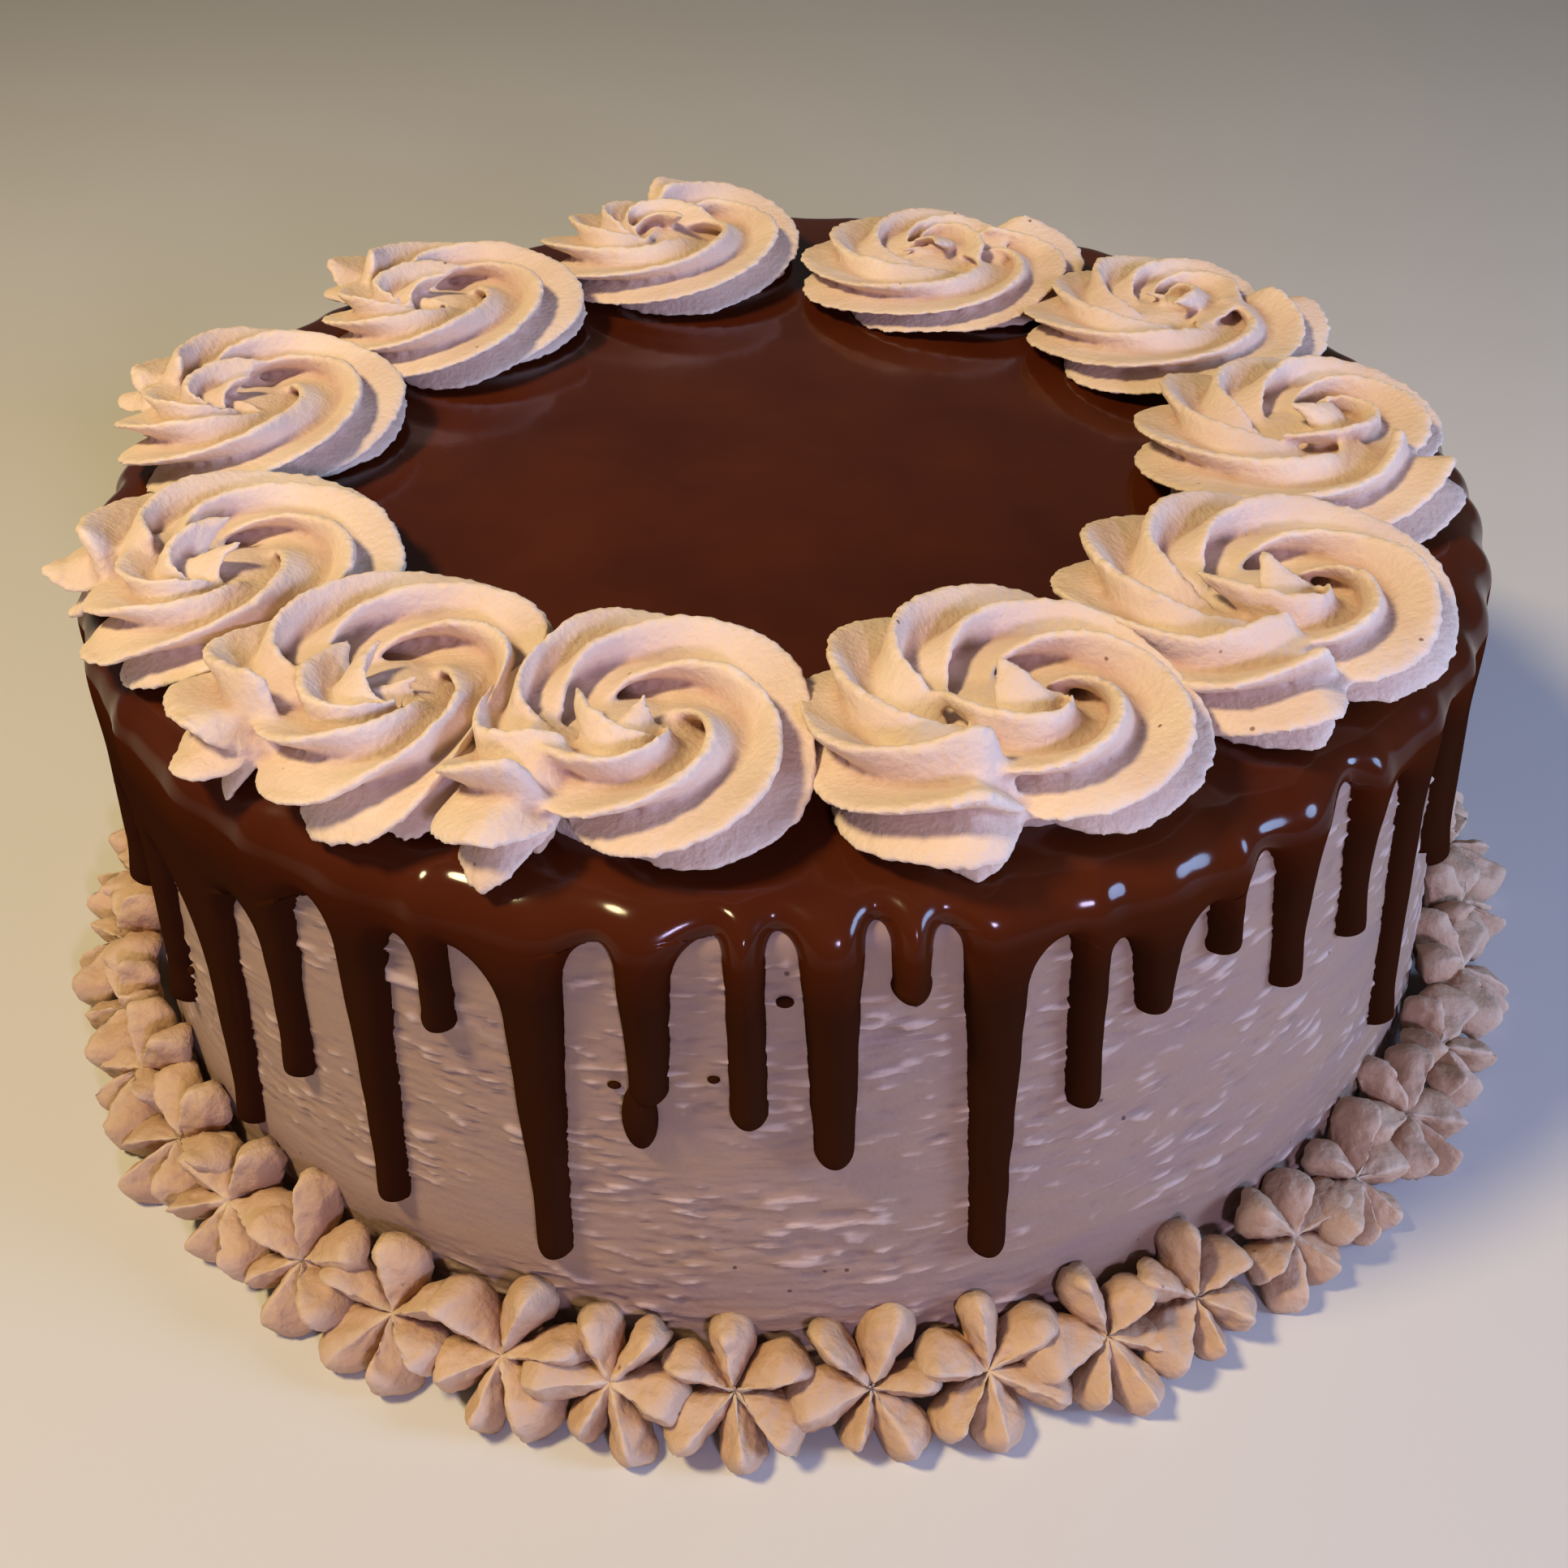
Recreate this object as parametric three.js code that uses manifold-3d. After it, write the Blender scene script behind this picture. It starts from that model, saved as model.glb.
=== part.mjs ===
// A round drip cake: a frosted body, a poured ganache cap that runs down in drips, a ring of piped
// rosettes on top and a border of piped star flowers round the foot. Millimetres, +Z up, with the
// origin in the middle of the underside. The front of the cake faces -Y, and an azimuth is counted
// from +X towards +Y.
import * as THREE from 'three';
import { LoftGeometry } from 'three/addons/geometries/LoftGeometry.js';
import { mergeVertices } from 'three/addons/utils/BufferGeometryUtils.js';
import Module from 'manifold-3d';

// Frosted body: slightly wider at the foot, with a rounded top edge
const BASE_RADIUS = 113;
const TOP_RADIUS = 106;
const BODY_HEIGHT = 80;
const EDGE_ROUND = 5;
const EDGE_STEPS = 3;
const ROUND_SIDES = 60;

// Room left between neighbouring pieces, and how near corners are one
const GAP = 0.3;
const WELD = 1e-3;

// Ganache: the poured cap, and the drips that leave its edge
const CAP_THICKNESS = 2.2;
const DRIP_ROOT = 76;
const DRIP_WIDTH = 5.6;
const DRIP_WIDTH_SPREAD = 0.9;
const DRIP_THICKNESS = 2.5;
const CROWN_SHARE = 0.55;
const FLARE_DROP = 6;
const FLARE_LENGTH_SHARE = 0.3;
const FLARE_FALL = 2.2;
const ROOT_SHARE = 0.94;

// Drips of the front, as azimuth in degrees and height of the rounded end above the foot
const FRONT_DRIPS = [
  [-155, 36], [-146, 26], [-136, 16], [-128, 36], [-120, 21], [-114, 57], [-107, 21],
  [-99.5, 46], [-93, 49], [-87.5, 42], [-82.5, 68], [-77, 22], [-70.5, 45], [-65.5, 57],
  [-60, 62], [-53.5, 50], [-46, 50], [-38, 22], [-30, 44],
];

// Drips of the back: as many to the degree as in front, with lengths of the same kind
const BACK_DRIPS = 33;
const BACK_DRIP_JITTER = 1.1;
const SHORT_DRIP_END = 64;
const LONG_DRIP_END = 20;
const DRIP_SEED = 11;

// Rosettes, clockwise from the back: where each sits round the cake and from its axis, how wide and
// high it is, and the side where its strand ends
const ROSETTES = [
  { azimuth: 105, distance: 79, radius: 26, height: 11, tail: 95 },
  { azimuth: 65, distance: 73.5, radius: 27, height: 9, tail: 50 },
  { azimuth: 29, distance: 79.5, radius: 26.5, height: 9.5, tail: 20 },
  { azimuth: -6.5, distance: 81, radius: 27, height: 11, tail: -25 },
  { azimuth: -42, distance: 84.5, radius: 28, height: 12.5, tail: -70 },
  { azimuth: -72, distance: 85, radius: 27.5, height: 13.5, tail: -90 },
  { azimuth: -104, distance: 85, radius: 27, height: 12.5, tail: -114 },
  { azimuth: -125.5, distance: 88, radius: 28, height: 12, tail: -142 },
  { azimuth: -152.5, distance: 88.5, radius: 27, height: 11.5, tail: -172 },
  { azimuth: 173, distance: 87.5, radius: 27, height: 11.5, tail: 174 },
  { azimuth: 141.5, distance: 78.5, radius: 27, height: 11.5, tail: 165 },
];

// Swirl of a rosette: ridges that climb from the foot over the crest and turn into the middle. Its
// outline grows once round up to the tail, where the piped strand was let go.
const SWIRL_RIDGES = 6;
const TAIL_STEP = 0.13;

// Rows of a rosette from its foot to its middle, as shares of its radius and height: how far out and
// how high ridges and valleys lie, and by how many degrees the swirl has turned
const ROSETTE_ROWS = [
  { ridge: 0.94, valley: 0.85, ridgeHeight: -0.08, valleyHeight: -0.08, turned: 0 },
  { ridge: 1.0, valley: 0.83, ridgeHeight: 0.2, valleyHeight: 0.2, turned: 14 },
  { ridge: 0.93, valley: 0.74, ridgeHeight: 0.58, valleyHeight: 0.44, turned: 42 },
  { ridge: 0.78, valley: 0.62, ridgeHeight: 0.87, valleyHeight: 0.64, turned: 78 },
  { ridge: 0.6, valley: 0.5, ridgeHeight: 1.0, valleyHeight: 0.72, turned: 118 },
  { ridge: 0.44, valley: 0.36, ridgeHeight: 0.96, valleyHeight: 0.66, turned: 160 },
  { ridge: 0.28, valley: 0.2, ridgeHeight: 0.9, valleyHeight: 0.6, turned: 205 },
  { ridge: 0.12, valley: 0.06, ridgeHeight: 0.92, valleyHeight: 0.64, turned: 250 },
];

// Border flowers: star drops squeezed into the corner of the wall and the surface below
const FLOWER_COUNT = 45;
const FLOWER_FIRST_AZIMUTH = -94;
const FLOWER_JITTER = 0.6;
const FLOWER_RING_RADIUS = 119;
const FLOWER_CENTRE_HEIGHT = 7.2;
const FLOWER_TILT = 43;
const FLOWER_TALL_RADIUS = 9.6;
const FLOWER_WIDE_RADIUS = 8.4;
const FLOWER_SIZE_SPREAD = 0.08;
const FLOWER_PETALS = 6;
const FLOWER_SEED = 7;

// Rows of a flower from its back to its peak, as shares of its radius: how far petals and gaps reach
// out from the axis, and how far forward along the axis they lie
const FLOWER_ROWS = [
  { petal: 0.64, gap: 0.54, petalForward: -0.62, gapForward: -0.62 },
  { petal: 1.0, gap: 0.64, petalForward: -0.12, gapForward: -0.3 },
  { petal: 0.7, gap: 0.34, petalForward: 0.2, gapForward: -0.08 },
  { petal: 0, gap: 0, petalForward: 0.12, gapForward: 0.12 },
];

// Corners of one petal across its width and of the gap after it, in degrees from the petal's middle
const PETAL_CORNERS = [
  { angle: -16, onPetal: true },
  { angle: 16, onPetal: true },
  { angle: 30, onPetal: false },
];

const FROSTING = { color: 0xa08478, roughness: 0.75, metalness: 0 };
const GANACHE = { color: 0x3a1a0e, roughness: 0.15, metalness: 0 };
const PIPED_CREAM = { color: 0xdcb9a0, roughness: 0.65, metalness: 0 };
const BORDER_CREAM = { color: 0xc79f80, roughness: 0.65, metalness: 0 };

const wasm = await Module();
wasm.setup();

const radians = THREE.MathUtils.degToRad;

// Repeatable random numbers from 0 to 1
function seeded(seed) {
  const range = 2 ** 32;
  let state = seed;
  return () => {
    state = (state * 1664525 + 1013904223) % range;
    return state / range;
  };
}

function wallRadius(height) {
  return BASE_RADIUS + (TOP_RADIUS - BASE_RADIUS) * height / BODY_HEIGHT;
}

// Point at a distance from the cake's axis
function around(azimuth, radius, height) {
  return new THREE.Vector3(radius * Math.cos(azimuth), radius * Math.sin(azimuth), height);
}

// Closed solid of a geometry, with its corners shared and its flat slivers dropped
function toSolid(geometry) {
  const bare = new THREE.BufferGeometry().copy(geometry);
  bare.deleteAttribute('normal');
  bare.deleteAttribute('uv');
  const shared = mergeVertices(bare, WELD);
  const corners = shared.index.array;
  const triVerts = [];
  for (let i = 0; i < corners.length; i += 3) {
    const [a, b, c] = corners.slice(i, i + 3);
    if (a !== b && b !== c && c !== a) {
      triVerts.push(a, b, c);
    }
  }
  return new wasm.Manifold(new wasm.Mesh({
    numProp: 3,
    vertProperties: new Float32Array(shared.attributes.position.array),
    triVerts: new Uint32Array(triVerts),
  }));
}

function toGeometry(solid) {
  const mesh = solid.getMesh();
  const geometry = new THREE.BufferGeometry();
  geometry.setAttribute('position', new THREE.BufferAttribute(mesh.vertProperties, 3));
  geometry.setIndex(new THREE.BufferAttribute(mesh.triVerts, 1));
  geometry.computeVertexNormals();
  return geometry;
}

function piece(name, solid, finish) {
  const mesh = new THREE.Mesh(toGeometry(solid), new THREE.MeshStandardMaterial(finish));
  mesh.name = name;
  return mesh;
}

// Solid of revolution round +Z from points of radius and height
function revolved(profile) {
  return toSolid(new THREE.LatheGeometry(profile, ROUND_SIDES).rotateX(Math.PI / 2));
}

// Rounded top edge of the body, grown by an offset, from the wall up to the level top
function edgeArc(offset) {
  const centreHeight = BODY_HEIGHT - EDGE_ROUND;
  const centreRadius = wallRadius(centreHeight) - EDGE_ROUND;
  const reach = EDGE_ROUND + offset;
  const points = [];
  for (let i = 0; i <= EDGE_STEPS; i += 1) {
    const angle = i / EDGE_STEPS * Math.PI / 2;
    const radius = centreRadius + reach * Math.cos(angle);
    points.push(new THREE.Vector2(radius, centreHeight + reach * Math.sin(angle)));
  }
  return points;
}

function bodySolid() {
  return revolved([
    new THREE.Vector2(0, 0),
    new THREE.Vector2(BASE_RADIUS, 0),
    ...edgeArc(0),
    new THREE.Vector2(0, BODY_HEIGHT),
  ]);
}

// Poured cap: follows the body's top and its rounded edge at the gap, down to the wall
function capSolid() {
  return revolved([
    new THREE.Vector2(0, BODY_HEIGHT + GAP),
    ...edgeArc(GAP).reverse(),
    ...edgeArc(GAP + CAP_THICKNESS),
    new THREE.Vector2(0, BODY_HEIGHT + GAP + CAP_THICKNESS),
  ]);
}

// Places of all drips in order round the cake: those of the front, then even ones behind
function dripPlaces() {
  const random = seeded(DRIP_SEED);
  const places = FRONT_DRIPS.map(([azimuth, end]) => ({ azimuth, end }));
  const last = FRONT_DRIPS[FRONT_DRIPS.length - 1][0];
  const open = FRONT_DRIPS[0][0] + 360 - last;
  for (let i = 1; i <= BACK_DRIPS; i += 1) {
    const azimuth = last + open * i / (BACK_DRIPS + 1) + BACK_DRIP_JITTER * (2 * random() - 1);
    const end = LONG_DRIP_END + (SHORT_DRIP_END - LONG_DRIP_END) * random();
    places.push({ azimuth, end });
  }
  for (const place of places) {
    place.width = DRIP_WIDTH + DRIP_WIDTH_SPREAD * (2 * random() - 1);
  }
  return places;
}

// One drip: a tongue with a domed section that flares into its neighbours at the root, runs down the
// wall and ends in a rounded bead. Left and right are half the way to the neighbouring drips.
function dripSolid(place, left, right) {
  const length = DRIP_ROOT - place.end;
  const half = place.width / 2;
  const flare = Math.min(FLARE_DROP, length * FLARE_LENGTH_SHARE);
  const rows = [
    { drop: -1, size: 1, thick: 0.7 },
    { drop: flare * 0.5, size: 1, thick: 0.9 },
    { drop: flare * 1.3, size: 0.95, thick: 0.95 },
    { drop: length - half * 1.1, size: 1.05, thick: 1.15 },
    { drop: length - half * 0.3, size: 0.78, thick: 0.85 },
    { drop: length, size: 0.3, thick: 0.3 },
  ];
  const sections = rows.map(({ drop, size, thick }) => {
    const height = DRIP_ROOT - drop;
    const spread = Math.exp(-FLARE_FALL * Math.max(drop, 0) / flare);
    const toLeft = half * size + (left - half) * spread;
    const toRight = half * size + (right - half) * spread;
    const proud = DRIP_THICKNESS * thick;
    const radius = wallRadius(height) + GAP;
    const crown = [[toRight * CROWN_SHARE, proud], [-toLeft * CROWN_SHARE, proud]];
    const across = [[toRight, 0], ...crown, [-toLeft, 0]];
    return across.map(([x, out]) => around(radians(place.azimuth) + x / radius, radius + out, height));
  });
  return toSolid(new LoftGeometry(sections, { capStart: true, capEnd: true }));
}

function ganacheSolid() {
  const places = dripPlaces();
  let solid = capSolid();
  places.forEach((place, i) => {
    const before = places[(i + places.length - 1) % places.length].azimuth;
    const after = places[(i + 1) % places.length].azimuth;
    const halfWay = (degrees) => radians(degrees) * wallRadius(DRIP_ROOT) * ROOT_SHARE / 2;
    const left = halfWay((place.azimuth - before + 360) % 360);
    const right = halfWay((after - place.azimuth + 360) % 360);
    solid = solid.add(dripSolid(place, left, right));
  });
  return solid;
}

// Big block whose face passes through a point, on the side that the normal points to
function blockBeyond(point, normal) {
  const size = 2 * BASE_RADIUS;
  const block = new THREE.BoxGeometry(size, size, size).translate(size / 2, 0, 0);
  block.applyQuaternion(new THREE.Quaternion().setFromUnitVectors(new THREE.Vector3(1, 0, 0), normal));
  return toSolid(block.translate(point.x, point.y, point.z));
}

// Rosette: one ridged skin, cut level underneath and clear of the rosettes before and after it
function rosetteSolid(rosettes, index) {
  const rosette = rosettes[index];
  const columns = 2 * SWIRL_RIDGES;
  const sections = ROSETTE_ROWS.map((row) => {
    const section = [];
    for (let k = 0; k < columns; k += 1) {
      const onRidge = k % 2 === 0;
      const grown = 1 + TAIL_STEP * row.ridge * ((k + 0.5) / columns - 0.5);
      const reach = (onRidge ? row.ridge : row.valley) * grown * rosette.radius;
      const height = (onRidge ? row.ridgeHeight : row.valleyHeight) * rosette.height;
      const azimuth = rosette.tail + 2 * Math.PI * (k + 0.5) / columns + radians(row.turned);
      section.push(around(azimuth, reach, height).add(rosette.place));
    }
    return section;
  });
  let solid = toSolid(new LoftGeometry(sections, { capStart: true, capEnd: true }));
  solid = solid.subtract(blockBeyond(rosette.place, new THREE.Vector3(0, 0, -1)));
  for (const step of [-1, 1]) {
    const other = rosettes[(index + step + rosettes.length) % rosettes.length];
    const away = other.place.clone().sub(rosette.place).normalize();
    const share = rosette.radius / (rosette.radius + other.radius);
    const border = rosette.place.clone().lerp(other.place, share).addScaledVector(away, -GAP / 2);
    solid = solid.subtract(blockBeyond(border, away));
  }
  return solid;
}

function rosetteSolids() {
  const level = BODY_HEIGHT + CAP_THICKNESS + 2 * GAP;
  const rosettes = ROSETTES.map(({ azimuth, distance, radius, height, tail }) => ({
    place: around(radians(azimuth), distance, level),
    radius,
    height,
    tail: radians(tail),
  }));
  return rosettes.map((rosette, i) => rosetteSolid(rosettes, i));
}

// Flower: a drop with petals and gaps by turns, tilted out of the corner, flattened where it meets the
// wall, the surface below and its neighbours
function flowerSolid(azimuth, lowest, highest, spin, size) {
  const outward = around(azimuth, 1, 0);
  const sideways = around(azimuth + Math.PI / 2, 1, 0);
  const tilt = radians(FLOWER_TILT);
  const forward = outward.clone().multiplyScalar(Math.cos(tilt)).setZ(Math.sin(tilt));
  const upward = outward.clone().multiplyScalar(-Math.sin(tilt)).setZ(Math.cos(tilt));
  const centre = around(azimuth, FLOWER_RING_RADIUS, FLOWER_CENTRE_HEIGHT);
  const sections = FLOWER_ROWS.map((row) => {
    const section = [];
    for (let k = 0; k < PETAL_CORNERS.length * FLOWER_PETALS; k += 1) {
      const corner = PETAL_CORNERS[k % PETAL_CORNERS.length];
      const petal = Math.floor(k / PETAL_CORNERS.length);
      const angle = spin + 2 * Math.PI * petal / FLOWER_PETALS + radians(corner.angle);
      const reach = (corner.onPetal ? row.petal : row.gap) * size;
      const ahead = (corner.onPetal ? row.petalForward : row.gapForward) * size;
      const point = centre.clone();
      point.addScaledVector(sideways, reach * FLOWER_WIDE_RADIUS * Math.cos(angle));
      point.addScaledVector(upward, reach * FLOWER_TALL_RADIUS * Math.sin(angle));
      point.addScaledVector(forward, ahead * FLOWER_TALL_RADIUS);
      const height = Math.max(point.z, 0);
      const radius = Math.max(Math.hypot(point.x, point.y), wallRadius(height) + GAP);
      const turned = azimuth + Math.atan2(point.dot(sideways), point.dot(outward));
      section.push(around(THREE.MathUtils.clamp(turned, lowest, highest), radius, height));
    }
    return section;
  });
  return toSolid(new LoftGeometry(sections, { capStart: true }));
}

function flowerSolids() {
  const random = seeded(FLOWER_SEED);
  const pitch = 360 / FLOWER_COUNT;
  const clearance = GAP / 2 / BASE_RADIUS;
  const azimuths = [];
  for (let i = 0; i < FLOWER_COUNT; i += 1) {
    azimuths.push(radians(FLOWER_FIRST_AZIMUTH + i * pitch + FLOWER_JITTER * (2 * random() - 1)));
  }
  return azimuths.map((azimuth, i) => {
    const before = i > 0 ? azimuths[i - 1] : azimuths[FLOWER_COUNT - 1] - 2 * Math.PI;
    const after = i < FLOWER_COUNT - 1 ? azimuths[i + 1] : azimuths[0] + 2 * Math.PI;
    const lowest = (before + azimuth) / 2 + clearance;
    const highest = (azimuth + after) / 2 - clearance;
    const spin = random() * 2 * Math.PI / FLOWER_PETALS;
    const size = 1 + FLOWER_SIZE_SPREAD * (2 * random() - 1);
    return flowerSolid(azimuth, lowest, highest, spin, size);
  });
}

const cake = new THREE.Group();
cake.add(piece('cake_body', bodySolid(), FROSTING));
cake.add(piece('ganache', ganacheSolid(), GANACHE));
rosetteSolids().forEach((solid, i) => {
  cake.add(piece(`rosette_${i + 1}`, solid, PIPED_CREAM));
});
flowerSolids().forEach((solid, i) => {
  cake.add(piece(`flower_${i + 1}`, solid, BORDER_CREAM));
});

export default cake;
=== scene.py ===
"""Looks of a round drip cake: spread frosting, poured ganache with drips, piped rosettes on top and a
border of piped star flowers round the foot. Sizes are in millimetres and become metres in the meshes,
and those of the studio are metres where a comment says so. The front of the cake faces -Y, and an azimuth
is counted from +X towards +Y, in degrees in the tables."""
import math

import bmesh
import bpy
import numpy as np
from mathutils import Matrix, Vector, kdtree, noise


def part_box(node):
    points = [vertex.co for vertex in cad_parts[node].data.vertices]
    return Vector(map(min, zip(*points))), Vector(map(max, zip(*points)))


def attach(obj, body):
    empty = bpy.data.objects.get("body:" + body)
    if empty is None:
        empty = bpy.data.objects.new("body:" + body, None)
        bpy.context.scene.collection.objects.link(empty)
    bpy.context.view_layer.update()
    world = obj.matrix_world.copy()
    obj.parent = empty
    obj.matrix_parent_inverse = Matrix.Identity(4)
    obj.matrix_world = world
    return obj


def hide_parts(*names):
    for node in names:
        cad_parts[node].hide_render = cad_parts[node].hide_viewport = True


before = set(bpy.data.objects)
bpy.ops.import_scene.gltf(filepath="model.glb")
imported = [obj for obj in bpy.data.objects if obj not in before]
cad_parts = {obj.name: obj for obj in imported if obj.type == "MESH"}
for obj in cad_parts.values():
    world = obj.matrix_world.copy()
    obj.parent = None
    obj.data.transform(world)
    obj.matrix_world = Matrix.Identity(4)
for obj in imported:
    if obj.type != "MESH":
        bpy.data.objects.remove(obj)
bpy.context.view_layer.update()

MM = 0.001

# How far apart seeds are in the noise
SEEDS_APART = 17.3

# Body of the cake, from the frame, and the rounded edge at its top
body_low, body_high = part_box("cake_body")
BASE_RADIUS = body_high.x / MM
BODY_HEIGHT = body_high.z / MM
WALL_TAPER = 7
EDGE_ROUND = 5
EDGE_HEIGHT = BODY_HEIGHT - EDGE_ROUND
WALL_TILT = math.atan2(WALL_TAPER, BODY_HEIGHT)

# Frosting on the wall: spacing of its mesh, fine in height because the spatula's streaks lie level, and how
# far it stands back so that raised streaks don't bury the edges of the drips
WALL_COLUMNS = 470
WALL_ROW = 0.4
EDGE_ROWS = 6
WALL_BACK = 0.35

# Relief of the frosting: size of its lumps round the cake and in height, with the seed of their noise.
# Patches are where the spatula tore the frosting, and bends make the streaks wander up and down
WAVES = (30, 12, 3)
PATCHES = (22, 12, 4)
BENDS = (16, 9, 5)
TERRACES = (5, 2, 1)
FLECKS = (4, 1.1, 6)
PITS = (3, 1.2, 7)
GRAIN = (2.4, 0.8, 2)

# How far the relief stands out, the noise at which it starts and how sharply, how much of it is left where
# the wall is smooth, and the heights in which it fades at the foot and below the plain top
WAVE_HEIGHT = 0.3
BEND_HEIGHT = 2.5
TERRACE_HEIGHT = 0.1
FLECK_HEIGHT = 0.45
PIT_DEPTH = 0.35
GRAIN_HEIGHT = 0.12
PATCH_MIDDLE = 0.7
PATCH_SHARPNESS = 1.3
TERRACE_SHARPNESS = 4.5
TEAR_SHARPNESS = 2.4
FLECK_START = 0.3
PIT_START = 0.4
STREAKS_LEFT = 0.12
GRAIN_LEFT = 0.4
FOOT_FADE = 1.5
TOP_FADE = 4
PLAIN_TOP = 2

# Ganache: thickness of the sheet, the drips and their ends, width in which its edge rounds off, and how far
# its edge and its back sink into the frosting
SHEET_THICKNESS = 2.5
DRIP_THICKNESS = 2.3
DRIP_END_THICKNESS = 2.9
EDGE_ROUNDING = 3.2
EDGE_SINK = 1
BACK_SINK = 1.3

# Thickness on the way down: depth in which the sheet thins to a drip, how far the rim swells above a drip,
# half the width of that swelling for a thin drip and what a heavy one adds, what is taken off between the
# drips, depth at which the rim is fully swollen, and place above the end and length of the bead in a drip
THINNING_DEPTH = 14
RIM_SWELL = 0.8
SWELL_HALF = 2
SWELL_HALF_HEAVY = 2
SWELL_BETWEEN = 0.35
SWELL_DEPTH = 5
BEAD_ABOVE_END = 2.5
BEAD_LENGTH = 4

# Side of a drip: how much of the way to the top of its arch it may fill, the fall of the arch, how that grows
# with the arch and the most of the drip that it takes, the tip's length for its half width, the bulb above
# the tip and its share of the stem, and how far and in what length the side sways
SIDE_MOST = 0.88
ARCH_FALL = 1.5
ARCH_FALL_GROWTH = 1.3
ARCH_FALL_MOST = 0.45
TIP_LENGTH = 1.15
BULB = 0.2
BULB_SPAN = 0.12
SWAY = 0.35
SWAY_LENGTH = 6

# Spacing of the ganache's mesh
DRIP_COLUMNS = 20
TOP_ROWS = 8
RIM_ROWS = 16
ARCH_ROWS = 14
STEM_ROWS = 20
TIP_ROWS = 12

# Drips of the front: azimuth, height of the end above the foot, how broad it is from 0, a thin even drip,
# to 1, a heavy tapering one, and azimuth and height of the arch between it and the next drip
FRONT_DRIPS = [
    (-155, 36, 0.5, -150, 60), (-146, 26, 0.4, -144, 58.5), (-136, 16, 0.9, -131.8, 63.5),
    (-128, 36, 0.6, -123.7, 71.5), (-120, 21, 0.9, -116.2, 71), (-114, 57, 0.1, -112.7, 72),
    (-107, 21, 1.0, -102.2, 76.4), (-99.5, 52, 0.6, -94.9, 78), (-93, 49, 0.15, -90.9, 78.5),
    (-87.5, 42, 0.9, -84.7, 79), (-82.5, 68, 0.1, -80.5, 78), (-77, 22, 1.0, -72.4, 74),
    (-70.5, 45, 0.2, -68.8, 71.2), (-65.5, 57, 0.6, -61.5, 71.5), (-60, 62, 0.1, -57.5, 75.5),
    (-53.5, 50, 0.6, -48.6, 77.5), (-46, 50, 0.3, -42.5, 72.5), (-38, 22, 0.5, -34, 74),
    (-30, 44, 0.4, -27, 73),
]

# Drips of the back, drawn in the same order as in the solids, height of the arches between them, and where
# an arch has its top: nearer to the thinner drip, but at least a share of the way from either
BACK_DRIPS = 33
BACK_DRIP_JITTER = 1.1
SHORT_DRIP_END = 64
LONG_DRIP_END = 20
DRIP_SEED = 11
BACK_ARCH_HEIGHT = 74.5
BACK_ARCH_SPREAD = 3
ARCH_LEAST = 0.25
THIN_WEIGHT = 0.1

# Width of a thin and of a heavy drip under its arches and at its end
THIN_DRIP = (4.7, 4.6)
HEAVY_DRIP = (8.2, 4.8)

# Drops on the wall: azimuth and height, and half their size across, down and out. The first runs on under
# the end of a drip, and the others are splashes
WALL_DROPS = [
    (-100.2, 49.6, 2.3, 5.4, 2.0), (-90.5, 69.1, 1.1, 0.8, 0.5), (-95.2, 56.7, 0.8, 0.5, 0.5),
    (-101.8, 54.3, 0.9, 0.5, 0.5), (-144.3, 34.4, 0.8, 0.6, 0.5),
]

# Rosettes: azimuth, distance from the axis, radius, height, azimuths at which the strand leaves the middle
# and ends, azimuth to which the piping bag leaned and how far it leaned from upright
ROSETTES = [
    (105, 79, 26, 11, 98, 112, 60, 16), (65, 73.5, 27, 8.5, 41, 50, -80, 14),
    (29, 79.5, 26.5, 9, 6, 20, 60, 14), (-6.5, 81, 27, 11, -39, -25, 45, 18),
    (-42, 84.5, 28, 12.5, -92, -70, 60, 16), (-72, 85, 27.5, 13.5, -98, -90, 60, 16),
    (-104, 85, 27, 12.5, -116, -114, 100, 14), (-125.5, 88, 28, 12, -150, -142, 110, 10),
    (-152.5, 88.5, 27, 11, -178, -172, 100, 12), (173, 87.5, 27, 11, 170, 174, 95, 16),
    (141.5, 78.5, 27, 11, 160, 165, 110, 14),
]

# Section of a piped strand: teeth of the star nozzle, half its width, how far in the valleys between the
# ridges are, how blunt and uneven the lips are, the length of that unevenness along the strand, and how far
# apart the lips and the strands take it from the noise
NOZZLE_TEETH = 6
STRAND_HALF = 10.5
VALLEY_SHARE = 0.34
LIP_SHARE = 0.2
LIP_FALL = 1.2
LIP_UNEVEN = 0.22
LIP_RUN = 11
LIPS_APART = 7.7
STRANDS_APART = 3.1

# Way of the strand: how far it turns at least, in degrees, where it starts, how it opens into its ring, the
# crown of open teeth in the middle, in which the first row is a shallow mouth, and the tail, which draws in,
# rides up on the first turn and ends ragged where it tore
STRAND_TURN_LEAST = 300
STRAND_START = 3.5
RING_REACHED = math.radians(135)
CROWN_LENGTH = 7
CROWN_LIFT = 1.5
CROWN_SIZE = 0.86
FULL_SIZE_WAY = 14
MOUTH_DEPTH = 1.5
MOUTH_SIZE = 0.3
TAIL_IN = 1.5
TAIL_RISE = 0.22
TAIL_TURN = math.radians(60)
TORN_LENGTH = 5
TORN_SINK = 0.25
TORN_RAGGED = 1.8
TORN_LUMPS = 0.8
TORN_SEED = 40
TORN_LEAST = 0.1

# Filling under the curl of the strand: its radius, its share of the rosette's height, and how far and to
# which side of the strand's start it is shifted
HEART_RADIUS = 12.5
HEART_SHARE = 0.72
HEART_SHIFT = 1.5
HEART_SIDE = 135

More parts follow.
